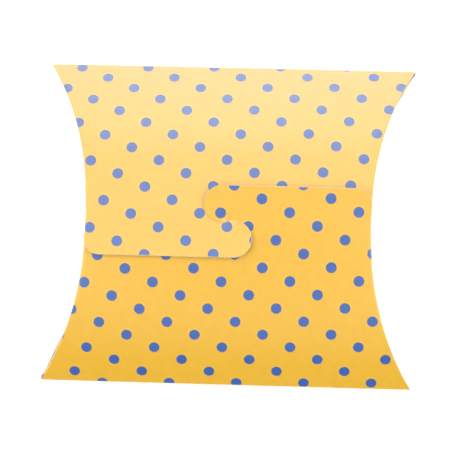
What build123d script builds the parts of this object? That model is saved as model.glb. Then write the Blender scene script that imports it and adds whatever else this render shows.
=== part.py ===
from build123d import *
from math import asin, cos, degrees, radians, sin, tan
import os

# Pillow box of one folded sheet of thin card, lying on its back panel.
# X runs along the two straight creases, Y across them, +Z out of the locked front.
# The origin is under the middle of the back panel, on the surface that it lies on.

os.makedirs("parts", exist_ok=True)

# Card and clearances
card = 0.4  # thickness of the sheet
fold_gap = 0.12  # air between two layers of card that lie side by side
layer_gap = 0.06  # air between two layers that lie one on the other
overrun = 2.0  # how far a cutting shape runs past what it cuts

# Bow of the back panel, which the ends of the box repeat in plan
waist_half_width = 55.6  # half the length of the box at its narrow middle
flat_half = 6.0  # half the flat strip that the box stands on
crown_radius = 100.0  # bend of the middle
crown_angle = 10.0  # how far it turns, in degrees
shoulder_radius = 104.0  # bend beside each straight crease
shoulder_angle = 24.0  # how far that one turns, in degrees

# Front flaps and their lock
ridge_angle = 1.0  # slope of each flap where the two meet, in degrees
lap = 14.0  # how far the long half of a flap reaches past the middle
wing_angle = 1.8  # slope of that long half, in degrees, which lifts it off the flap below
wing_corner_radius = 6.5
step_run = 0.4  # width of the step that lifts the long half by one layer
slit_gap = 0.1  # width of the slit between the halves of a flap
tab_neck = 2.1  # straight part of the lock tab, before its round end
flap_end_gap = 0.15  # from the free edge of a short half to the middle line

# End flaps and tuck flaps
end_flap_tip_gap = 2.0  # from the tip of an end flap to the corner of the box
notch_radius = 7.0  # thumb notch in the free edge of an end flap
tuck_reach = 6.0  # how far a tuck flap hangs below the crease level at the middle
tuck_rise = 0.8  # how far its outer end stays above that level
tuck_corner_cut = 8.0  # from a tuck flap to the corner of the box
tuck_end_gap = 0.6  # from a tuck flap to the middle line

edge_angle = crown_angle + shoulder_angle
crown_sin, crown_cos = sin(radians(crown_angle)), cos(radians(crown_angle))
shoulder_along = flat_half + (crown_radius - shoulder_radius) * crown_sin
shoulder_up = crown_radius - (crown_radius - shoulder_radius) * crown_cos


def bow_point(turn, depth):
    """Point of the bow where it has turned this far, as (along, rise), depth inside its outer face."""
    a = radians(turn)
    if turn <= crown_angle:
        return (flat_half + (crown_radius - depth) * sin(a), crown_radius - (crown_radius - depth) * cos(a))
    return (shoulder_along + (shoulder_radius - depth) * sin(a), shoulder_up - (shoulder_radius - depth) * cos(a))


half_height, crease_level = bow_point(edge_angle, 0)
corner_half_width = waist_half_width + crease_level

# The crown of a front flap meets the same shoulder, and slopes by the ridge turn at the middle line.
ridge_sin, ridge_cos = sin(radians(ridge_angle)), cos(radians(ridge_angle))
front_shoulder_up = 2 * crease_level - shoulder_up
joint_along = shoulder_along + shoulder_radius * crown_sin
front_crown_radius = joint_along / (crown_sin - ridge_sin)
front_crown_along = -front_crown_radius * ridge_sin
front_crown_up = front_shoulder_up - (front_crown_radius - shoulder_radius) * crown_cos
front_level = front_crown_up + front_crown_radius * ridge_cos
layer_step = card + layer_gap
top_level = front_level + layer_step + lap * tan(radians(wing_angle))


def front_point(turn, depth):
    """Point of a front flap's section, as (y, z), depth inside its outer face."""
    a = radians(turn)
    if turn <= crown_angle:
        r = front_crown_radius - depth
        return (front_crown_along + r * sin(a), front_crown_up + r * cos(a))
    r = shoulder_radius - depth
    return (shoulder_along + r * sin(a), front_shoulder_up + r * cos(a))


def front_turn(along):
    """Turn of a front flap's outer face at this distance from the middle line."""
    if along <= joint_along:
        return degrees(asin((along - front_crown_along) / front_crown_radius))
    return degrees(asin((along - shoulder_along) / shoulder_radius))


def arc_through(point, start, end, depth):
    """Arc along a section between two turns, from its ends and the point between them."""
    ThreePointArc(point(start, depth), point((start + end) / 2, depth), point(end, depth))


def front_section(inner_turn, tail_outer, tail_inner):
    """Edges of a front flap's section, from the straight crease to inner_turn and then the tail."""
    with BuildLine() as section:
        arc_through(front_point, edge_angle, crown_angle, 0)
        arc_through(front_point, crown_angle, inner_turn, 0)
        Polyline(front_point(inner_turn, 0), *tail_outer, *tail_inner, front_point(inner_turn, card))
        arc_through(front_point, inner_turn, crown_angle, card)
        arc_through(front_point, crown_angle, edge_angle, card)
        Line(front_point(edge_angle, card), front_point(edge_angle, 0))
    return section.edges()


def long_section():
    """Section of the long half: one layer up at the middle line, then on past it by the lap."""
    tail_end = lap + overrun
    tail_up = front_level + layer_step + tail_end * tan(radians(wing_angle))
    outer = [(0, front_level + layer_step), (-tail_end, tail_up)]
    inner = [(-tail_end, tail_up - card), (0, front_level + layer_step - card)]
    return front_section(front_turn(step_run), outer, inner)


def short_section():
    """Section of the short half, which ends just before the middle line."""
    return front_section(front_turn(flap_end_gap), [], [])


def plan_lines(side, depth):
    """Lines of one end of the box in plan, from corner to corner, this deep inside its outer face."""
    for way in (1, -1):
        Line((side * (waist_half_width - depth), 0), (side * (waist_half_width - depth), way * flat_half))
        for start, end in ((0, crown_angle), (crown_angle, edge_angle)):
            bow = [bow_point(turn, -depth) for turn in (start, (start + end) / 2, end)]
            ThreePointArc(*[(side * (waist_half_width + rise), way * along) for along, rise in bow])


def footprint(depth):
    """Edges of a panel's plan whose curved ends lie this deep inside the outer faces of the box."""
    along, rise = bow_point(edge_angle, -depth)
    x = waist_half_width + rise
    with BuildLine() as plan:
        plan_lines(1, depth)
        plan_lines(-1, depth)
        Line((x, along), (-x, along))
        Line((x, -along), (-x, -along))
    return plan.edges()


def end_wall_plan(depth):
    """Edges of the plan of a card wall along the left end, this deep inside its outer face."""
    (outer_along, outer_rise), (inner_along, inner_rise) = [
        bow_point(edge_angle, -d) for d in (depth, depth + card)
    ]
    outer_x, inner_x = -waist_half_width - outer_rise, -waist_half_width - inner_rise
    with BuildLine() as plan:
        plan_lines(-1, depth)
        plan_lines(-1, depth + card)
        Line((outer_x, outer_along), (inner_x, inner_along))
        Line((outer_x, -outer_along), (inner_x, -inner_along))
    return plan.edges()


def above_crease():
    """Cuts a front flap's section off at the level of the straight creases."""
    with Locations((0, crease_level)):
        Rectangle(4 * half_height, 2 * top_level, align=(Align.CENTER, Align.MIN), mode=Mode.INTERSECT)


panel_depth = card + fold_gap  # what lies inside the end flaps starts this deep

with BuildPart() as back_panel:
    with BuildSketch(Plane.YZ):
        with BuildLine() as back_outer:
            Line((0, 0), bow_point(0, 0))
            arc_through(bow_point, 0, crown_angle, 0)
            arc_through(bow_point, crown_angle, edge_angle, 0)
            Line(bow_point(edge_angle, 0), bow_point(edge_angle, card))
            arc_through(bow_point, edge_angle, crown_angle, card)
            arc_through(bow_point, crown_angle, 0, card)
            Line(bow_point(0, card), (0, card))
            Line((0, card), (0, 0))
        make_face()
        mirror(about=Plane.YZ)
        Rectangle(4 * half_height, 2 * crease_level, mode=Mode.INTERSECT)
    extrude(amount=corner_half_width, both=True)
    with BuildSketch(Plane.XY):
        make_face(footprint(panel_depth))
    extrude(amount=top_level, mode=Mode.INTERSECT)
back_panel.part.label = "back_panel"

with BuildPart() as upper_front_flap:
    with BuildSketch(Plane.YZ.offset(-slit_gap / 2)):
        make_face(long_section())
        above_crease()
    extrude(amount=-corner_half_width)
    with BuildSketch(Plane.YZ.offset(-slit_gap / 2)):
        make_face(short_section())
        above_crease()
    extrude(amount=corner_half_width + slit_gap)
    with BuildSketch(Plane.XY) as flap_outline:
        make_face(footprint(panel_depth))
        with Locations((0, -lap)):
            Rectangle(
                2 * corner_half_width, 2 * half_height + lap, align=(Align.CENTER, Align.MIN), mode=Mode.INTERSECT
            )
        wing_corner = flap_outline.vertices().group_by(Axis.Y)[0].sort_by(Axis.X)[0]
        fillet(wing_corner, radius=wing_corner_radius)
    extrude(amount=2 * top_level, mode=Mode.INTERSECT)
upper_front_flap.part.label = "upper_front_flap"

with BuildPart() as upper_lock_tab:
    with BuildSketch(Plane.YZ.offset(-slit_gap / 2)):
        make_face(long_section())
    extrude(amount=tab_neck + lap)
    tab_top = -(step_run + layer_gap)
    tab_radius = (lap + tab_top) / 2
    with BuildSketch(Plane.XY):
        with BuildLine():
            Polyline((tab_neck, tab_top), (-slit_gap / 2, tab_top), (-slit_gap / 2, -lap), (tab_neck, -lap))
            ThreePointArc((tab_neck, -lap), (tab_neck + tab_radius, -lap + tab_radius), (tab_neck, tab_top))
        make_face()
    extrude(amount=2 * top_level, mode=Mode.INTERSECT)
upper_lock_tab.part.label = "upper_lock_tab"

# The lower flap and its tab are the upper ones turned half round.
with BuildPart() as lower_front_flap:
    add(upper_front_flap.part.rotate(Axis.Z, 180))
lower_front_flap.part.label = "lower_front_flap"

with BuildPart() as lower_lock_tab:
    add(upper_lock_tab.part.rotate(Axis.Z, 180))
lower_lock_tab.part.label = "lower_lock_tab"

with BuildPart() as left_end_flap:
    with BuildSketch(Plane.XY):
        make_face(end_wall_plan(0))
    extrude(amount=2 * crease_level)
    with BuildSketch(Plane.YZ):
        with BuildLine():
            Line((0, 0), bow_point(0, 0))
            arc_through(bow_point, 0, crown_angle, 0)
            arc_through(bow_point, crown_angle, edge_angle, 0)
            Line(bow_point(edge_angle, 0), (0, crease_level))
            Line((0, crease_level), (0, 0))
        make_face()
        mirror(about=Plane.YZ)
        mirror(about=Plane.XZ.offset(-crease_level))
        Rectangle(2 * (half_height - end_flap_tip_gap), 4 * crease_level, mode=Mode.INTERSECT)
        with Locations((0, 2 * crease_level)):
            Circle(notch_radius, mode=Mode.SUBTRACT)
    extrude(amount=2 * corner_half_width, both=True, mode=Mode.INTERSECT)
left_end_flap.part.label = "left_end_flap"

with BuildPart() as right_end_flap:
    add(left_end_flap.part.rotate(Axis.Z, 180))
right_end_flap.part.label = "right_end_flap"

with BuildPart() as upper_left_tuck_flap:
    with BuildSketch(Plane.XY):
        make_face(end_wall_plan(panel_depth))
    extrude(amount=top_level)
    tuck_end = half_height - tuck_corner_cut
    start_turn = front_turn(tuck_end_gap)
    end_turn = front_turn(tuck_end)
    tuck_foot = (tuck_end_gap, crease_level - tuck_reach)
    tuck_tip = (tuck_end, crease_level + tuck_rise)
    with BuildSketch(Plane.YZ):
        with BuildLine():
            arc_through(front_point, start_turn, crown_angle, panel_depth)
            arc_through(front_point, crown_angle, end_turn, panel_depth)
            Line(front_point(end_turn, panel_depth), tuck_tip)
            TangentArc(tuck_foot, tuck_tip, tangent=(1, 0))
            Line(tuck_foot, front_point(start_turn, panel_depth))
        make_face()
    extrude(amount=2 * corner_half_width, both=True, mode=Mode.INTERSECT)
upper_left_tuck_flap.part.label = "upper_left_tuck_flap"

with BuildPart() as lower_left_tuck_flap:
    add(mirror(upper_left_tuck_flap.part, about=Plane.XZ, mode=Mode.PRIVATE))
lower_left_tuck_flap.part.label = "lower_left_tuck_flap"

with BuildPart() as upper_right_tuck_flap:
    add(mirror(upper_left_tuck_flap.part, about=Plane.YZ, mode=Mode.PRIVATE))
upper_right_tuck_flap.part.label = "upper_right_tuck_flap"

with BuildPart() as lower_right_tuck_flap:
    add(upper_left_tuck_flap.part.rotate(Axis.Z, 180))
lower_right_tuck_flap.part.label = "lower_right_tuck_flap"

pieces = (
    back_panel,
    upper_front_flap,
    upper_lock_tab,
    lower_front_flap,
    lower_lock_tab,
    left_end_flap,
    right_end_flap,
    upper_left_tuck_flap,
    upper_right_tuck_flap,
    lower_left_tuck_flap,
    lower_right_tuck_flap,
)
for piece in pieces:
    export_step(piece.part, f"parts/{piece.part.label}.step")

print("height", 2 * half_height, "crease level", crease_level, "top level", top_level)
print("width over the corners", 2 * corner_half_width, "front level", front_level)
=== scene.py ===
import bpy
import numpy as np
from math import radians, sin, cos, tan, pi
from mathutils import Euler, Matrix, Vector


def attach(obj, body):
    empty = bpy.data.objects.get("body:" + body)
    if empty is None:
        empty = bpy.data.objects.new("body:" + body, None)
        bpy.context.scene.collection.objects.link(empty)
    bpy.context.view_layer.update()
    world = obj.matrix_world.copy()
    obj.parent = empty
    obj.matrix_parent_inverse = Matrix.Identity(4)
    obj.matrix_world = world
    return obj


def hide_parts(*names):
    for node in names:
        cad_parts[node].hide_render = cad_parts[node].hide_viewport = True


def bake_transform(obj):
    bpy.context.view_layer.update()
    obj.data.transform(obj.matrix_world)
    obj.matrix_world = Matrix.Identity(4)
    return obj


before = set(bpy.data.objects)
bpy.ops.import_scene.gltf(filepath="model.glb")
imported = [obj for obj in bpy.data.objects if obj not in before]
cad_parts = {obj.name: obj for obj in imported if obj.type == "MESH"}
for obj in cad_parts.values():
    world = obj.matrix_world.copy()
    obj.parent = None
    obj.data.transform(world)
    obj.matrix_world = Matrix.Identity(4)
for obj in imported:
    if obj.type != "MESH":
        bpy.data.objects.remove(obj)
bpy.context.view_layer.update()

# The sizes of the box are in millimetres, and become metres when a mesh is made.
mm = 0.001  # in metres
boxForm = {
    "waist": 55.6,  # half the length at the narrow middle
    "waistDip": 0.42,  # how much further in the ends go there
    "dipReach": 13.0,  # from the middle to where that dip is over
    "flat": 6.0,  # half the flat strip that the box lies on
    "crownRadius": 100.0,
    "crownTurn": radians(10),
    "shoulderRadius": 104.0,
    "edgeTurn": radians(34),  # slope of both panels at the straight creases
    "ridgeTurn": radians(4),  # slope of the front flaps at the middle line
    "card": 0.4,  # thickness
    "foldRadius": 0.5,  # outer roundness of every crease
    "foldFade": 1.5,  # height of the end at which its curved creases are as round as that
    "foldLeast": 0.02,  # and the part of it that is left at the corners
    "flapStart": 0.2,  # from the middle of a crease to the flap on it
    "edgeBevel": 0.15,  # soft shoulder of a cut edge, added to the outlines below
    "bevelDrop": 1.1,  # depth of that shoulder over its width
    "hardTurn": radians(32),  # edges that turn more than this stay hard
    "farAway": 9.0,  # a distance at which a crease leaves no mark
}

# The section. Along and Up give the distance of an arc's centre from the middle, and its height. The
# back's crown and shoulder meet at jointAlong, and the front's shoulder is the back's, mirrored at
# the level of the straight creases.
crownTurn, edgeTurn = boxForm["crownTurn"], boxForm["edgeTurn"]
crownRadius, shoulderRadius = boxForm["crownRadius"], boxForm["shoulderRadius"]
shoulderAlong = boxForm["flat"] + (crownRadius - shoulderRadius) * sin(crownTurn)
shoulderUp = crownRadius - (crownRadius - shoulderRadius) * cos(crownTurn)
jointAlong = shoulderAlong + shoulderRadius * sin(crownTurn)
halfHeight = shoulderAlong + shoulderRadius * sin(edgeTurn)
creaseLevel = shoulderUp - shoulderRadius * cos(edgeTurn)
frontRadius = jointAlong / (sin(crownTurn) - sin(boxForm["ridgeTurn"]))
frontAlong = -frontRadius * sin(boxForm["ridgeTurn"])
frontShoulderUp = 2 * creaseLevel - shoulderUp
frontUp = frontShoulderUp - (frontRadius - shoulderRadius) * cos(crownTurn)
frontLevel = frontUp + frontRadius * cos(boxForm["ridgeTurn"])
foldRadius = boxForm["foldRadius"]
# The panels are stretched a little, which makes room for the round straight crease.
sectionStretch = 1 + foldRadius * (1 / sin(edgeTurn) - 1) / halfHeight


def smooth(t):
    # Smoothstep: 3 t squared minus 2 t cubed between 0 and 1, flat outside.
    t = np.clip(t, 0, 1)
    return t * t * (3 - 2 * t)


def growth(along, grow):
    # Smoothstep of the distance past the first of two values over the second.
    return smooth((along - grow[0]) / grow[1])


def bowRise(along):
    # Rise of the bow at a distance from the middle: nothing on the flat strip, radius minus the
    # root of radius squared minus distance squared on the crown, then the same for the shoulder arc.
    a = np.abs(along)
    crown = crownRadius - np.sqrt(crownRadius**2 - np.clip(a - boxForm["flat"], 0, None) ** 2)
    shoulder = shoulderUp - np.sqrt(shoulderRadius**2 - (a - shoulderAlong) ** 2)
    return np.where(a < jointAlong, crown, shoulder)


def frontRise(along):
    # Height of the front: centre height plus the root of radius squared minus distance squared,
    # first round the crown's centre and then round the shoulder's.
    a = np.abs(along)
    crown = frontUp + np.sqrt(frontRadius**2 - np.clip(a - frontAlong, 0, None) ** 2)
    shoulder = frontShoulderUp + np.sqrt(shoulderRadius**2 - (a - shoulderAlong) ** 2)
    return np.where(a < jointAlong, crown, shoulder)


def endReach(along):
    # Half the length of the box at a distance from the middle: the waist plus the bow's rise, less
    # a shallow dip in the middle that a smoothstep fades out.
    a = np.minimum(np.abs(along), halfHeight)
    dip = boxForm["waistDip"] * (1 - smooth(a / boxForm["dipReach"]))
    return boxForm["waist"] + bowRise(a) - dip


def creaseRoundness(height):
    # Outer radius of a curved crease: the fold radius times the height of the end there over the
    # height at which it is full, and never less than a small part of it.
    return foldRadius * np.clip(height / boxForm["foldFade"], boxForm["foldLeast"], 1)


def lengthTable(y, z):
    # Length along a line of points: the running sum of the distances between neighbours.
    steps = np.hypot(np.diff(y), np.diff(z))
    return np.concatenate([[0.0], np.cumsum(steps)])


# Half the section of the front and of the back, from the middle to the straight crease, which is
# an arc of the fold radius, and the length along each
tangentAlong = halfHeight - foldRadius + foldRadius * sin(edgeTurn)
foldTurn = np.linspace(pi / 2 - edgeTurn, 0, 14)
foldY = halfHeight - foldRadius + foldRadius * np.cos(foldTurn)
foldZ = foldRadius * np.sin(foldTurn)
panelY = np.linspace(0, tangentAlong, 700)
sectionY = np.concatenate([panelY, foldY[1:]])
frontZ = np.concatenate([frontRise(panelY / sectionStretch), creaseLevel + foldZ[1:]])
backZ = np.concatenate([bowRise(panelY / sectionStretch), creaseLevel - foldZ[1:]])
frontTable, backTable = lengthTable(sectionY, frontZ), lengthTable(sectionY, backZ)
frontLength, backHalf = frontTable[-1], backTable[-1]
foldStart, backFoldStart = frontTable[len(panelY) - 1], backTable[len(panelY) - 1]

# The printed pattern: a square lattice of dots, turned, and the place of one dot on each front flap,
# from the middle of the box
printForm = {
    "spacing": 11.898,
    "turn": radians(24.873),
    "upper": (-21.830, 7.932),
    "lower": (12.942, 8.974),
    "dot": 4.2,  # diameter
}


def cells(u, v, start):
    # Place in the lattice: the distance from one dot's centre, along the two directions of the
    # rows, over the spacing, so that the dots' centres are at whole numbers.
    du, dv = (u - start[0]) / printForm["spacing"], (v - start[1]) / printForm["spacing"]
    c, s = cos(printForm["turn"]), sin(printForm["turn"])
    return np.stack([du * c - dv * s, -du * s - dv * c], axis=-1)


def backCells(u, w):
    # The back continues the upper flap's rows, w millimetres past the upper crease, and the small
    # misfit with the lower flap's rows is spread evenly over its width.
    whole = 2 * backHalf
    fromUpper = cells(u, frontLength + w, printForm["upper"])
    fromLower = cells(u, -frontLength - whole + w, printForm["lower"])
    misfit = fromLower - fromUpper
    misfit = misfit - np.round(misfit)
    return fromUpper + misfit * (w / whole)[..., None]


def gridFaces(rows, columns, first):
    # Quads of a grid: each cell's four corners, in the order that turns the face outward.
    index = first + np.arange(rows * columns).reshape(rows, columns)
    upper, lower = index[:-1], index[1:]
    corners = [upper[:, :-1], upper[:, 1:], lower[:, 1:], lower[:, :-1]]
    return np.stack(corners, axis=-1).reshape(-1, 4)


def joinGrids(grids, flip, turned):
    # One surface from several grids. Points that round to the same tenth of a micrometre become
    # one, which is cut if it is cut in any of them.
    points = np.concatenate([g["points"].reshape(-1, 3) for g in grids])
    cell = np.concatenate([g["cell"].reshape(-1, 2) for g in grids])
    cut = np.concatenate([g["cut"].reshape(-1) for g in grids])
    crease = np.concatenate([g["crease"].reshape(-1) for g in grids])
    firsts = np.cumsum([0] + [g["cut"].size for g in grids[:-1]])
    faces = np.concatenate([gridFaces(*g["cut"].shape, first) for g, first in zip(grids, firsts)])
    if turned:
        points = points * [-1, -1, 1]
    if flip:
        faces = faces[:, ::-1]
    _, keep, join = np.unique(np.round(points, 4), axis=0, return_index=True, return_inverse=True)
    join = join.reshape(-1)
    cutShared = np.zeros(len(keep), bool)
    np.logical_or.at(cutShared, join, cut)
    return points[keep], join[faces], cell[keep], crease[keep], cutShared


def unit(vectors):
    # Each vector over its own length.
    return vectors / (np.linalg.norm(vectors, axis=1, keepdims=True) + 1e-12)


def surfaceNormals(points, faces):
    # The sum of the normals of the faces round a point, over its length. A face's normal is the
    # cross product of its diagonals.
    corner = points[faces]
    faceNormal = np.cross(corner[:, 2] - corner[:, 0], corner[:, 3] - corner[:, 1])
    normal = np.zeros_like(points)
    np.add.at(normal, faces.reshape(-1), np.repeat(faceNormal, 4, axis=0))
    return unit(normal)


def findRim(points, faces, normal, cut):
    # The edges that only one face has, and the way out of the card at each point of them: the cross
    # product of the rim's direction, as its cut edges give it, and the normal.
    edges = np.stack([faces, np.roll(faces, -1, axis=1)], axis=-1).reshape(-1, 2)
    _, back, count = np.unique(np.sort(edges, axis=1), axis=0, return_inverse=True, return_counts=True)
    rim = edges[count[back.reshape(-1)] == 1]
    after, before = np.arange(len(points)), np.arange(len(points))
    after[rim[:, 0]] = rim[:, 1]
    before[rim[:, 1]] = rim[:, 0]
    ahead = unit(points[after] - points) * cut[after][:, None]
    behind = unit(points - points[before]) * cut[before][:, None]
    return rim, unit(np.cross(ahead + behind, normal))


def addMesh(name, points, faces, slots, places, crease, materials):
    # The arrays become an object. Places in the print go to its UV map, and the distance from a
    # crease goes to an attribute, for the printed card.
    mesh = bpy.data.meshes.new(name)
    mesh.from_pydata(points.tolist(), [], faces.tolist())
    mesh.polygons.foreach_set("use_smooth", np.ones(len(faces), bool))
    mesh.polygons.foreach_set("material_index", slots.astype(np.int32))
    layer = mesh.uv_layers.new(name="sheet")
    loopVertex = np.empty(len(mesh.loops), np.int32)
    mesh.loops.foreach_get("vertex_index", loopVertex)
    layer.data.foreach_set("uv", places[loopVertex].astype(np.float32).reshape(-1))
    wear = mesh.attributes.new("creaseDistance", "FLOAT", "POINT")
    wear.data.foreach_set("value", crease.astype(np.float32))
    for material in materials:
        mesh.materials.append(material)
    mesh.validate()
    mesh.set_sharp_from_angle(angle=boxForm["hardTurn"])
    piece = bpy.data.objects.new(name, mesh)
    bpy.context.scene.collection.objects.link(piece)
    return piece


def cardMesh(name, grids, materials, flip=False, turned=False, bevel=boxForm["edgeBevel"]):
    # A closed sheet of card from its outer surface: the inner one is the outer one moved inward
    # along its normals by the thickness, and the rim joins them. Where card is cut, a bevel leads
    # out from the outer surface by its width, square to the rim, and down by that times its drop.
    points, faces, cell, crease, cut = joinGrids(grids, flip, turned)
    normal = surfaceNormals(points, faces)
    rim, outward = findRim(points, faces, normal, cut)
    onRim = np.zeros(len(points), bool)
    onRim[rim] = True
    spread = points + outward * bevel * (onRim & cut)[:, None]
    inner = spread - normal * boxForm["card"]
    rimIndex = np.flatnonzero(onRim)
    side = spread[rimIndex] - normal[rimIndex] * bevel * boxForm["bevelDrop"]
    total = len(points)
    sideOf = np.zeros(total, int)
    sideOf[rimIndex] = 2 * total + np.arange(len(rimIndex))
    a, b = rim[:, 0], rim[:, 1]
    bevelFaces = np.stack([b, a, sideOf[a], sideOf[b]], axis=-1)
    wallFaces = np.stack([sideOf[b], sideOf[a], a + total, b + total], axis=-1)
    allPoints = np.concatenate([points, inner, side]) * mm
    allFaces = np.concatenate([faces, faces[:, ::-1] + total, bevelFaces, wallFaces])
    slots = np.repeat([0, 1, 2], [len(faces), len(faces), len(bevelFaces) + len(wallFaces)])
    places = np.concatenate([cell, cell, cell[rimIndex]])
    allCrease = np.concatenate([crease, crease, crease[rimIndex]])
    return addMesh(name, allPoints, allFaces, slots, places, allCrease, materials)


# Materials
cardLook = {
    "yellow": (0.925, 0.517, 0.021),
    "blue": (0.028, 0.118, 0.45),
    "inside": (0.76, 0.735, 0.675),
    "core": (0.93, 0.76, 0.38),  # at a cut edge
    "worn": (0.97, 0.86, 0.55),  # where the print is cracked
    "dotBlur": 0.007,  # half the width of a dot's edge, in spacings of the dots
    "dotWobble": 0.015,  # how far that edge strays
    "cloudTone": (0.975, 1.02),  # least and most of the faint clouds in the colour
    "cloudRoughness": (0.37, 0.43),  # and in the gloss
    "boardTone": (0.94, 1.03),  # least and most of the bare board's grain
    "crackWidth": (0.05, 0.55),  # from a crease to where its cracks begin to fade, and end
    "crack": 0.30,  # how much of the print they take
    "coatRoughness": 0.3,
    # roughness, fineness of the grain, and how much of the print's coat is on it
    "insideFinish": (0.85, 2600.0, 0.0),
    "coreFinish": (0.5, 5200.0, 1.0),
}


def nodeMaterial(name):
    # A new material with its node tree and its shader.
    material = bpy.data.materials.new(name)
    material.use_nodes = True
    tree = material.node_tree
    return material, tree, tree.nodes["Principled BSDF"]


def setInputs(tree, node, inputs):
    # An input gets its value, or is linked if that is an output of another node.
    for key, value in inputs.items():
        if isinstance(value, bpy.types.NodeSocket):
            tree.links.new(value, node.inputs[key])
        else:
            node.inputs[key].default_value = value


def addNode(tree, kind, inputs=None, **settings):
    # A new node, with its own settings and its inputs.
    node = tree.nodes.new(kind)
    for key, value in settings.items():
        setattr(node, key, value)
    setInputs(tree, node, inputs or {})
    return node


def addMath(tree, operation, *terms):
    # A Math node with these terms.
    return addNode(tree, "ShaderNodeMath", dict(enumerate(terms)), operation=operation).outputs[0]


def addVector(tree, operation, *terms):
    # A Vector Math node with these terms, which gives a number for a length and else a vector.
    node = addNode(tree, "ShaderNodeVectorMath", dict(enumerate(terms)), operation=operation)
    return node.outputs["Value" if operation == "LENGTH" else "Vector"]


def addScaled(tree, colour, factor):
    # The colour times a number.
    node = addNode(tree, "ShaderNodeVectorMath", {0: colour, "Scale": factor}, operation="SCALE")
    return node.outputs["Vector"]


def addMix(tree, share, first, second):
    # The first colour, with a share of the second in its place.
    inputs = {0: share, 6: first, 7: second}
    return addNode(tree, "ShaderNodeMix", inputs, data_type="RGBA").outputs[2]


def addRange(tree, source, fromRange, toRange):
    # A straight line from one pair of values to another, held at both ends.
    names = ("Value", "From Min", "From Max", "To Min", "To Max")
    inputs = dict(zip(names, (source, *fromRange, *toRange)))
    return addNode(tree, "ShaderNodeMapRange", inputs).outputs["Result"]


def addNoise(tree, place, scale, detail, roughness):
    # A noise, finer by its scale.
    inputs = {"Vector": place, "Scale": scale, "Detail": detail, "Roughness": roughness}
    return addNode(tree, "ShaderNodeTexNoise", inputs).outputs["Fac"]


def addBump(tree, height, strength):
    # The direction of the surface once a height is on it, at most a tenth of a millimetre.
    inputs = {"Height": height, "Strength": strength, "Distance": 0.0001}
    return addNode(tree, "ShaderNodeBump", inputs).outputs["Normal"]


noiseSpread = (0.3, 0.7)  # between these lies nearly all of a noise


def dotMask(tree, sheet):
    # 1 on a dot and 0 beside it: the distance from the nearest whole-numbered place of the lattice,
    # with a little noise, against the dot's radius.
    part = addVector(tree, "FRACTION", addVector(tree, "ADD", sheet, (0.5, 0.5, 0.5)))
    away = addVector(tree, "LENGTH", addVector(tree, "SUBTRACT", part, (0.5, 0.5, 0.5)))
    stray = cardLook["dotWobble"]
    wobble = addMath(tree, "MULTIPLY_ADD", addNoise(tree, sheet, 42.0, 2.0, 0.5), 2 * stray, -stray)
    distance = addMath(tree, "ADD", away, wobble)
    radius, blur = printForm["dot"] / 2 / printForm["spacing"], cardLook["dotBlur"]
    return addRange(tree, distance, (radius - blur, radius + blur), (1.0, 0.0))


def crackMask(tree, sheet):
    # How much of the print is gone: most at a crease, less in a straight line with the distance
    # from it, times a noise.
    near = addNode(tree, "ShaderNodeAttribute", attribute_name="creaseDistance").outputs["Fac"]
    line = addRange(tree, near, cardLook["crackWidth"], (cardLook["crack"], 0.0))
    return addMath(tree, "MULTIPLY", line, addNoise(tree, sheet, 26.0, 3.0, 0.7))


def makePrintedCard():
    # The two inks by the mask of dots, with faint clouds in colour and gloss, a pale board where
    # the print is cracked, fine fibres in relief, and a clear coat over it all.
    material, tree, shader = nodeMaterial("printedCard")
    sheet = addNode(tree, "ShaderNodeUVMap", uv_map="sheet").outputs["UV"]
    yellow, blue, worn = ((*cardLook[ink], 1) for ink in ("yellow", "blue", "worn"))
    cloud = addNoise(tree, sheet, 3.2, 4.0, 0.55)
    tone = addRange(tree, cloud, noiseSpread, cardLook["cloudTone"])
    toned = addScaled(tree, addMix(tree, dotMask(tree, sheet), yellow, blue), tone)
    fibre = addNoise(tree, sheet, 34.0, 5.0, 0.6)
    finish = {
        "Base Color": addMix(tree, crackMask(tree, sheet), toned, worn),
        "Roughness": addRange(tree, cloud, noiseSpread, cardLook["cloudRoughness"]),
        "Normal": addBump(tree, fibre, 0.10),
        "Specular IOR Level": 1.0,
        "Coat Weight": 1.0,
        "Coat Roughness": cardLook["coatRoughness"],
        "Coat IOR": 1.5,
    }
    setInputs(tree, shader, finish)
    return material


def makeBoard(name, colour, roughness, grain, coat):
    # Bare board: its colour times a fine noise, with the same noise as a low bump. The coat is 1 on
    # a cut edge, whose rounded shoulder still has the print's coat on it, and 0 on the inside.
    material, tree, shader = nodeMaterial(name)
    place = addNode(tree, "ShaderNodeTexCoord").outputs["Object"]
    fibre = addNoise(tree, place, grain, 6.0, 0.65)
    tone = addRange(tree, fibre, noiseSpread, cardLook["boardTone"])
    finish = {
        "Base Color": addScaled(tree, colour, tone),
        "Roughness": roughness,
        "Normal": addBump(tree, fibre, 0.2),
        "Specular IOR Level": 0.3 + 0.7 * coat,
        "Coat Weight": coat,
        "Coat Roughness": cardLook["coatRoughness"],
    }
    setInputs(tree, shader, finish)
    return material


printedCard = makePrintedCard()
innerBoard = makeBoard("innerBoard", cardLook["inside"], *cardLook["insideFinish"])
cutEdge = makeBoard("cutEdge", cardLook["core"], *cardLook["coreFinish"])
cardMaterials = [printedCard, innerBoard, cutEdge]
print("materials ready")

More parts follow.
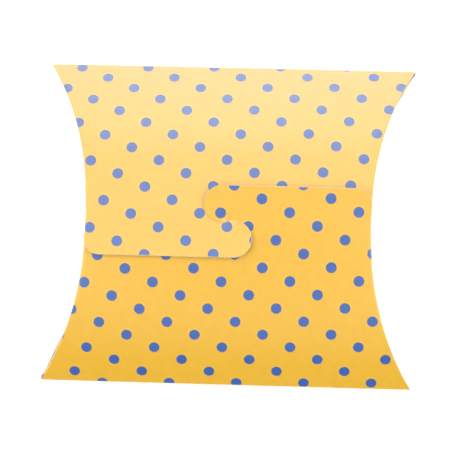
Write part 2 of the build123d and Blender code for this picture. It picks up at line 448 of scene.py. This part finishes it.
# Front flaps with their lock. Two values in brackets say where something begins, from the middle,
# and over what length it grows.
lockForm = {
    "lap": 13.85,  # how far the long half reaches past the middle line
    "cornerRadius": 6.35,
    "neck": 2.2,  # from the middle of the box to the round end of the lock tab
    "tabEdge": 0.35,  # how far the lock tab reaches past the middle line on the other side
    "shortGap": 0.60,  # from the short half to the middle line
    "layer": 0.46,  # how far the long half stands over the flap below
    "curl": 0.0010,  # upward bend of the long half
    "stepBegin": 0.08,  # before the middle line, where the step beside the slit begins
    "stepEnd": 0.37,  # past the middle line, where the step beside the slit is over
    "longRamp": 26.0,  # length of the step under the other flap's tab
    "rampGrow": (2.5, 6.0),  # where it becomes that long
    "neckRise": 0.8,  # length over which the tab's root is up by a layer
    "second": (8.0, 12.0),  # from before the middle, where the second layer comes in
    "heldAlong": 3.0,  # it comes in all at once this far along the tab
    "heldDown": 4.0,  # and this far past the middle line
    "inset": 0.3,  # of the short half's end near its corner
    "insetGrow": (54.0, 8.0),
    "cutRows": 0.05,  # rows up to here, from the middle line, are a cut edge
    "creaseRows": 0.3,  # from here on the curved crease leaves its mark
    "foldBegin": 0.6,  # length over which the curved crease sets in at the middle line
    "foldStop": 4.5,  # from the corner of the box to the tuck flap on that crease
    "foldEnd": 0.8,  # length over which the crease ends past that flap
}
tabRadius = (lockForm["lap"] + lockForm["tabEdge"]) / 2
tabMiddle = (lockForm["tabEdge"] - lockForm["lap"]) / 2


def frontPlace(v):
    # Place on the front, v millimetres up the sheet from the middle line: read from the table of
    # lengths, and past the middle line a straight run on that curls up with the square of v.
    y = np.where(v < 0, v, np.interp(v, frontTable, sectionY))
    past = np.clip(-v, 0, None)
    wing = frontLevel + past * tan(boxForm["ridgeTurn"]) + lockForm["curl"] * past**2
    z = np.where(v < 0, wing, np.interp(v, frontTable, frontZ))
    return y, z


def layerLift(x, v):
    # Lift of the long half by one layer, as a smoothstep up the sheet: short at the slit, and
    # growing to a long gentle one under the other flap's tab. Near the slit's end and on the tab
    # the sheet rises by a second layer, which a smoothstep along the box brings in.
    grown = growth(-x, lockForm["rampGrow"])
    begin = lockForm["stepBegin"] + lockForm["longRamp"] * grown
    end = -lockForm["stepEnd"] * (1 - grown)
    first = smooth((begin - v) / (begin - end))
    first = first + (1 - first) * smooth(x / lockForm["neckRise"])
    loose = (1 - smooth(-v / lockForm["heldDown"])) * (1 - smooth(x / lockForm["heldAlong"]))
    before, length = lockForm["second"]
    second = smooth((x + before) / length) * (1 - loose)
    return lockForm["layer"] * (first + second)


# Rows of a flap, up the sheet from its edge past the middle line: over the lock tab, across the slit,
# at growing steps up the panel and round the straight crease. Then the turns of a curved crease.
lockRows = tabMiddle + tabRadius * np.sin(np.linspace(-pi / 2, pi / 2, 31))
slitRows = np.array([0.43, 0.51, lockForm["shortGap"]])
nearRows = np.array([0.8, 1.3, 2.0])
foldRows = foldStart + (frontLength - foldStart) * np.linspace(0, 1, 8)[1:]
panelRows = np.concatenate([nearRows, np.linspace(3.0, foldStart, 46), foldRows])
rollTurns = np.linspace(pi / 2, 0, 7)[:-1]


def tipInset(y):
    # How far the short half's end stays inside near its corner: a smoothstep of the distance.
    return lockForm["inset"] * growth(y, lockForm["insetGrow"])


def rollOver(reach, roll, folded=1.0):
    # The outer columns, which roll over into a curved crease: out by radius times sine of the turn,
    # and away by radius times one minus cosine, or straight on as far as the crease isn't folded.
    # The third array is their place on the flat sheet.
    start, radius = (reach - roll)[:, None], roll[:, None]
    out = start + radius * (folded * np.sin(rollTurns) + (1 - folded) * rollTurns / (pi / 2))
    away = folded * radius * (1 - np.cos(rollTurns))
    return out, away, start + radius * rollTurns


def frontHalf(rows, side):
    # One half of a flap in rows of equal v, the long one for side -1 and the short one for side 1,
    # from the curved crease to the middle of the box. The long one has a round corner: radius minus
    # the root of radius squared minus distance squared.
    y, z = frontPlace(rows)
    reach = endReach(y)
    bottom = -lockForm["lap"] + lockForm["cornerRadius"]
    into = np.clip(bottom - rows, 0, lockForm["cornerRadius"])
    corner = lockForm["cornerRadius"] - np.sqrt(lockForm["cornerRadius"] ** 2 - into**2)
    atCut = rows < lockForm["cutRows"]
    free = corner + np.where(atCut, boxForm["edgeBevel"], 0)
    reach = reach - (free if side < 0 else tipInset(y))
    roll = creaseRoundness(z - creaseLevel)
    folded = smooth(rows / lockForm["foldBegin"]) if side < 0 else np.ones_like(rows)
    folded = folded * smooth((halfHeight - lockForm["foldStop"] - y) / lockForm["foldEnd"] + 1)
    bentX, away, bentU = rollOver(reach, roll, folded[:, None])
    flatX = (reach - roll)[:, None] * (1 - np.linspace(0, 1, 52))
    lift = layerLift(-flatX, rows[:, None]) if side < 0 else np.zeros_like(flatX)
    flatZ = z[:, None] + lift
    x = np.concatenate([bentX, flatX], axis=1)
    zAll = np.concatenate([flatZ[:, :1] - away, flatZ], axis=1)
    u = np.concatenate([bentU, flatX], axis=1)
    yAll = np.broadcast_to(y[:, None], x.shape)
    v = np.broadcast_to(rows[:, None], x.shape)
    points = np.stack([side * x, yAll, zAll], axis=-1)
    toEnd = reach[:, None] - x + (flatZ[:, :1] - zAll)
    toEnd = np.where(v > lockForm["creaseRows"], toEnd, boxForm["farAway"])
    crease = np.minimum(np.maximum(toEnd, 0), frontLength - v)
    cut = np.zeros(x.shape, bool)
    cut[atCut, :] = True
    cut[1:, -1] = False
    cut[0, :] = True
    if side > 0:
        points, u, v, crease, cut = (np.flip(g, 1) for g in (points, u, v, crease, cut))
    return {"points": points, "u": side * u, "v": v, "crease": crease, "cut": cut}


def lockTab():
    # The tab in the same rows: its end is the neck plus the root of radius squared minus the
    # distance from its middle squared.
    y, z = frontPlace(lockRows)
    end = lockForm["neck"] + np.sqrt(np.clip(tabRadius**2 - (lockRows - tabMiddle) ** 2, 0, None))
    t = np.sin(np.linspace(0, pi / 2, 14))
    x = end[:, None] * t[None, :]
    v = np.broadcast_to(lockRows[:, None], x.shape)
    zAll = z[:, None] + layerLift(x, v)
    points = np.stack([x, np.broadcast_to(y[:, None], x.shape), zAll], axis=-1)
    cut = np.ones(x.shape, bool)
    cut[1:-1, 0] = False
    crease = np.full(x.shape, boxForm["farAway"])
    return {"points": points, "u": x, "v": v, "crease": crease, "cut": cut}


def printed(grid, where):
    # The lower flap is the upper one turned half round, so its sheet coordinates change sign.
    sign = 1 if where == "upper" else -1
    return {**grid, "cell": cells(sign * grid["u"], sign * grid["v"], printForm[where])}


def dress(piece, body, node, second=None):
    # A stiff piece rides on one body. A flap on a curved crease, which lies between two bodies, keeps
    # its place in the world and rides on none.
    if second:
        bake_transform(piece)
    else:
        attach(piece, body)
    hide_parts(node)


leftRows = np.concatenate([lockRows, slitRows, panelRows])
rightRows = np.concatenate([slitRows[-1:], panelRows])
for where in ("upper", "lower"):
    halves = [printed(frontHalf(leftRows, -1), where), printed(frontHalf(rightRows, 1), where)]
    flap = cardMesh(where + "FrontFlap", halves, cardMaterials, turned=where == "lower")
    dress(flap, where + "_front", where + "_front_flap")
    grids = [printed(lockTab(), where)]
    tab = cardMesh(where + "LockTab", grids, cardMaterials, turned=where == "lower")
    dress(tab, where + "_front", where + "_lock_tab")
print("front flaps and lock ready")

# Back panel, and the flaps at its two ends
endForm = {
    "tip": 0.8,  # from an end flap's tip to the corner of the box
    "notch": 7.0,  # radius of its thumb notch
    "bevel": 0.1,  # soft shoulder of its cut edge
    "below": 2.2,  # from its free edge up to the front crease
    "belowMost": 0.14,  # the most of that, as a part of the end's height
    "lean": 0.62,  # how far the free edge leans in
    "leanHeight": 9.0,  # height of the end from which it leans in by all of that
    "leanPower": 1.3,  # the lean grows with this power of the height
    "out": (35.0, 12.0),  # where the tip that stands outside the front stops leaning in
    "outBelow": 0.25,  # from that tip's free edge up to the front crease
    "curl": 4.5,  # height over which that free edge bends in
    "curlGrow": (42.0, 4.0),
    "bulge": {-1: 1.25, 1: 0.5},  # how far the tip stands outside, on the left and on the right
    "bulgeGrow": {-1: (41.0, 9.0), 1: (46.0, 9.0)},
    "bulgeBack": {-1: 0.4, 1: 0.0},  # the part of it that is lost again at the corner
    "bulgeEnd": (56.0, 7.0),
    "rim": {-1: 0.16, 1: 0.05},  # how far the free edge is left outside the front
    "printOut": {-1: 0.7, 1: 0.0},  # how far the print sits out on the flap
}


def tipBulge(y, side):
    # How far the end flap and its crease stand outside the front near one corner of each end: a
    # smoothstep up to the bulge, and a second one that takes part of it back at the corner.
    back = 1 - endForm["bulgeBack"][side] * growth(y * side, endForm["bulgeEnd"])
    return endForm["bulge"][side] * growth(y * side, endForm["bulgeGrow"][side]) * back


def backGrid():
    # The back panel in rows from the upper crease under the box to the lower one, each row as long
    # as the box is there, with both ends rolled up into the curved creases.
    flat, fold = np.linspace(0, backFoldStart, 50), np.linspace(backFoldStart, backHalf, 8)
    half = np.concatenate([flat, fold[1:]])
    along = np.concatenate([half[::-1], -half[1:]])
    y = np.sign(along) * np.interp(np.abs(along), backTable, sectionY)
    z = np.interp(np.abs(along), backTable, backZ)
    roll = creaseRoundness(creaseLevel - z)
    leftEnd, rightEnd = (endReach(y) + tipBulge(y, side) for side in (-1, 1))
    leftX, away, leftU = rollOver(leftEnd, roll)
    rightX, _, rightU = rollOver(rightEnd, roll)
    left, right = -(leftEnd - roll)[:, None], (rightEnd - roll)[:, None]
    flatX = left + (right - left) * np.linspace(0, 1, 61)
    flatZ = np.broadcast_to(z[:, None], flatX.shape)
    bentZ = z[:, None] + away
    x = np.concatenate([-leftX, flatX, np.flip(rightX, 1)], axis=1)
    zAll = np.concatenate([bentZ, flatZ, np.flip(bentZ, 1)], axis=1)
    u = np.concatenate([-leftU, flatX, np.flip(rightU, 1)], axis=1)
    yAll = np.broadcast_to(y[:, None], x.shape)
    w = np.broadcast_to((backHalf - along)[:, None], x.shape)
    toEnd = np.where(x < 0, leftEnd[:, None], rightEnd[:, None]) - np.abs(x) + (zAll - z[:, None])
    crease = np.minimum(np.maximum(toEnd, 0), np.minimum(w, 2 * backHalf - w))
    points = np.stack([x, yAll, zAll], axis=-1)
    cut = np.zeros(x.shape, bool)
    return {"points": points, "cell": backCells(u, w), "crease": crease, "cut": cut}


back = cardMesh("backPanel", [backGrid()], cardMaterials)
dress(back, "back", "back_panel")
print("back panel ready")


def wallPoints(y, depth, z, side):
    # A wall that follows the end of the box: moved in by depth along the plan curve's normal,
    # whose slope is the difference of the reach over a short step.
    step = 0.1
    slope = (endReach(y + step / 2) - endReach(y - step / 2)) / step
    size = np.sqrt(1 + slope**2)
    x = endReach(y) - depth / size
    return np.stack([side * x, y + depth * slope / size, z], axis=-1)


def sheetEnd(y, roll):
    # Where the round crease ends on the flat sheet: the end of the box plus a quarter turn of the
    # radius, less the radius.
    return endReach(y) + (pi / 2 - 1) * roll


def endFlap(side):
    # Rows rise from the curved back crease to the free edge, which follows the front crease a
    # little below it, less the half-round notch: root of radius squared minus distance squared. The
    # flap leans in by a power of the height, and its tip outside bends in by the height squared.
    last = halfHeight - endForm["tip"]
    notch = endForm["notch"]
    middle = notch * np.sin(np.linspace(-pi / 2, pi / 2, 25))
    wing = notch + (last - notch) * np.linspace(0, 1, 44) ** 0.92
    y = np.concatenate([-wing[::-1], middle[1:-1], wing])
    foot = bowRise(y / sectionStretch)
    roll = creaseRoundness(creaseLevel - foot)
    bottom = foot + roll
    front = frontRise(y / sectionStretch)
    gap = front - foot
    out = growth(y * side, endForm["out"])
    below = endForm["below"] * (1 - out) + endForm["outBelow"] * out
    top = front - np.minimum(below, endForm["belowMost"] * gap)
    top = top - np.sqrt(np.clip(notch**2 - y**2, 0, None))
    t = np.linspace(0, 1, 26)[None, :]
    z = bottom[:, None] + (top - bottom)[:, None] * t
    lean = endForm["lean"] * smooth(gap / endForm["leanHeight"]) * (1 - out)
    outside = tipBulge(y, side)
    rim = endForm["rim"][side] - tipInset(y * side)
    curled = outside - rim * growth(y * side, endForm["curlGrow"])
    under = (top - bottom)[:, None] * (1 - t)
    height = np.minimum(endForm["curl"], top - bottom)[:, None]
    depth = lean[:, None] * t ** endForm["leanPower"] - outside[:, None]
    depth = depth + curled[:, None] * np.clip(1 - under / height, 0, 1) ** 2
    yAll = np.broadcast_to(y[:, None], z.shape)
    points = wallPoints(yAll, depth, z, side)
    along = np.sign(y) * np.interp(np.abs(y), sectionY, backTable)
    steps = np.hypot(np.diff(z, axis=1), np.diff(depth, axis=1))
    up = np.concatenate([np.zeros((len(y), 1)), np.cumsum(steps, axis=1)], axis=1)
    u = (sheetEnd(y, roll) + endForm["printOut"][side])[:, None] + up
    w = np.broadcast_to((backHalf - along)[:, None], z.shape)
    cut = np.ones(z.shape, bool)
    cut[1:-1, 0] = False
    crease = z - bottom[:, None] + boxForm["flapStart"]
    return {"points": points, "cell": backCells(side * u, w), "crease": crease, "cut": cut}


for side, word in ((-1, "left"), (1, "right")):
    bevel = endForm["bevel"]
    flap = cardMesh(word + "EndFlap", [endFlap(side)], cardMaterials, flip=side > 0, bevel=bevel)
    dress(flap, "back", word + "_end_flap", word + "_end")
print("end flaps ready")

# The tuck flaps on the front flaps' curved creases
tuckForm = {
    "gap": 0.6,  # from the middle line
    "lean": 1.6,  # how far it leans in
    "leanDrop": 1.8,  # drop by which it has most of that
    "reach": 6.0,  # how far it hangs below the straight creases at the middle
    "rise": 0.8,  # how far its outer end stays above them
    "bend": 12.0,  # length and drop over which it bends between its two bodies
}


def tuckFlap(side):
    # Rows go down from the curved front crease to a free edge that rises with the square of the
    # distance from the middle, and lean in by an amount that grows as one minus the falling
    # exponential of the distance from the crease.
    first, last = tuckForm["gap"], halfHeight - lockForm["foldStop"]
    y = first + (last - first) * np.linspace(0, 1, 48)
    front = frontRise(y / sectionStretch)
    top = front - foldRadius
    share = (y - y[0]) / (y[-1] - y[0])
    rise = tuckForm["reach"] + tuckForm["rise"]
    bottom = creaseLevel - tuckForm["reach"] + rise * share**2
    t = (np.linspace(0, 1, 30) ** 1.5)[None, :]
    down = (top - bottom)[:, None] * t
    depth = tuckForm["lean"] * (1 - np.exp(-down / tuckForm["leanDrop"]))
    depth = depth + (tipInset(y) if side > 0 else np.zeros_like(y))[:, None]
    yAll = np.broadcast_to(y[:, None], down.shape)
    points = wallPoints(yAll, depth, top[:, None] - down, side)
    u = side * (sheetEnd(y, foldRadius)[:, None] + down)
    v = np.broadcast_to(np.interp(y, sectionY, frontTable)[:, None], down.shape)
    cut = np.ones(down.shape, bool)
    cut[1:-1, 0] = False
    crease = down + boxForm["flapStart"]
    return {"points": points, "u": u, "v": v, "crease": crease, "cut": cut}


for where in ("upper", "lower"):
    for side, word in ((-1, "left"), (1, "right")):
        madeSide = side if where == "upper" else -side
        grid = printed(tuckFlap(madeSide), where)
        name = where + word.capitalize() + "TuckFlap"
        flap = cardMesh(name, [grid], cardMaterials, flip=madeSide < 0, turned=where == "lower")
        body = where + "_" + word + "_tuck"
        dress(flap, where + "_front", body + "_flap", body)
print("tuck flaps ready")

# Studio, in metres: a pale floor, an even sky, and soft boxes at angles from straight up
studio = {
    "sky": 0.02,
    "horizon": 0.8,  # a paler band round the foot of the sky
    "horizonTop": 0.35,  # sine of the angle where that band ends
    "floorTone": 0.92,
    "floorHalf": 0.75,  # half the floor's side
    "floorDrop": 0.0003,  # how far it lies below the box
    "floorGlow": (0.38, 1.0),  # what the camera sees on top of its tone, near the box and far off
    "glowSpread": (0.15, 0.6),  # between these distances from the box
    "lampDistance": 0.9,
    # heading, angle from straight up, size across, size along, brightness
    "lamps": {
        "farHighBox": (0, 20, 0.65, 0.50, 1.45),
        "nearBox": (180, 38, 0.65, 0.45, 0.60),
        "leftBox": (97, 40, 0.70, 0.70, 3.25),
        "rightBox": (263, 40, 0.70, 0.70, 3.25),
    },
    # the same for a box that adds no gloss
    "softLamps": {
        "farShade": (0, 68, 0.65, 0.40, 0.8),
    },
    # and for those that add gloss alone
    "glossLamps": {
        "farMiddleGloss": (0, 50.5, 0.65, 0.49, 2.78),
        "farLowGloss": (0, 78, 0.65, 0.40, 2.90),
        "farLeftGloss": (52, 62, 0.45, 0.60, 2.6),
        "farRightGloss": (308, 62, 0.45, 0.60, 2.6),
    },
}


def makeFloor():
    # A square floor. The camera sees a glow on it that grows in a straight line with the distance
    # from the box, so that the floor is white and the shadow stays.
    material, tree, shader = nodeMaterial("paleFloor")
    place = addNode(tree, "ShaderNodeTexCoord").outputs["Object"]
    seen = addNode(tree, "ShaderNodeLightPath").outputs["Is Camera Ray"]
    away = addVector(tree, "LENGTH", place)
    glow = addRange(tree, away, studio["glowSpread"], studio["floorGlow"])
    finish = {
        "Base Color": (*[studio["floorTone"]] * 3, 1),
        "Roughness": 0.9,
        "Specular IOR Level": 0.0,
        "Emission Color": (1, 1, 1, 1),
        "Emission Strength": addMath(tree, "MULTIPLY", seen, glow),
    }
    setInputs(tree, shader, finish)
    mesh = bpy.data.meshes.new("floor")
    corners = np.array([(-1, -1, 0), (1, -1, 0), (1, 1, 0), (-1, 1, 0)]) * studio["floorHalf"]
    mesh.from_pydata((corners - [0, 0, studio["floorDrop"]]).tolist(), [], [(0, 1, 2, 3)])
    mesh.materials.append(material)
    floor = bpy.data.objects.new("floor", mesh)
    bpy.context.scene.collection.objects.link(floor)


def makeSky():
    # The sky's strength falls in a straight line from the horizon's to its own, with the sine of the
    # angle above the horizon. The camera sees it white.
    world = bpy.data.worlds.new("studioSky")
    world.use_nodes = True
    tree = world.node_tree
    toward = addNode(tree, "ShaderNodeTexCoord").outputs["Generated"]
    upward = addNode(tree, "ShaderNodeSeparateXYZ", {0: toward}).outputs["Z"]
    band = addRange(tree, upward, (0.0, studio["horizonTop"]), (studio["horizon"], studio["sky"]))
    seen = addNode(tree, "ShaderNodeLightPath").outputs["Is Camera Ray"]
    level = {"Color": (1, 1, 1, 1), "Strength": addMath(tree, "MAXIMUM", seen, band)}
    setInputs(tree, tree.nodes["Background"], level)
    bpy.context.scene.world = world


def makeLamp(name, heading, angle, across, along, brightness, soft=True, gloss=True):
    # An area lamp that faces the object. Its power is brightness times pi times its area. One that
    # isn't soft is sampled from the lamp alone, or some of it would reach the card's own colour.
    lamp = bpy.data.lights.new(name, "AREA")
    lamp.shape = "RECTANGLE"
    lamp.size, lamp.size_y = across, along
    lamp.energy = brightness * pi * across * along
    lamp.cycles.use_multiple_importance_sampling = soft
    turn = Euler((-radians(angle), 0, radians(heading)))
    holder = bpy.data.objects.new(name, lamp)
    holder.rotation_euler = turn
    holder.location = turn.to_matrix() @ Vector((0, 0, studio["lampDistance"]))
    holder.visible_camera = False
    holder.visible_diffuse = soft
    holder.visible_glossy = gloss
    bpy.context.scene.collection.objects.link(holder)


makeFloor()
makeSky()
for name, settings in studio["lamps"].items():
    makeLamp(name, *settings)
for name, settings in studio["softLamps"].items():
    makeLamp(name, *settings, gloss=False)
for name, settings in studio["glossLamps"].items():
    makeLamp(name, *settings, soft=False)

# The camera: place in metres, turn in degrees, focal length in pixels of a picture of that width, and
# the width of the film in millimetres
view = {
    "place": (0.01501, -0.04057, 0.57482),
    "turn": (4.087, 1.475, 1.556),
    "focal": 1398.0,
    "width": 456.0,
    "film": 36.0,
}
camera = bpy.data.cameras.new("camera")
camera.sensor_width = view["film"]
camera.lens = view["film"] * view["focal"] / view["width"]
camera.clip_start = 0.01
holder = bpy.data.objects.new("camera", camera)
holder.location = view["place"]
holder.rotation_euler = Euler([radians(a) for a in view["turn"]])
bpy.context.scene.collection.objects.link(holder)
bpy.context.scene.camera = holder
bpy.context.scene.view_settings.view_transform = "Standard"
print("studio ready")
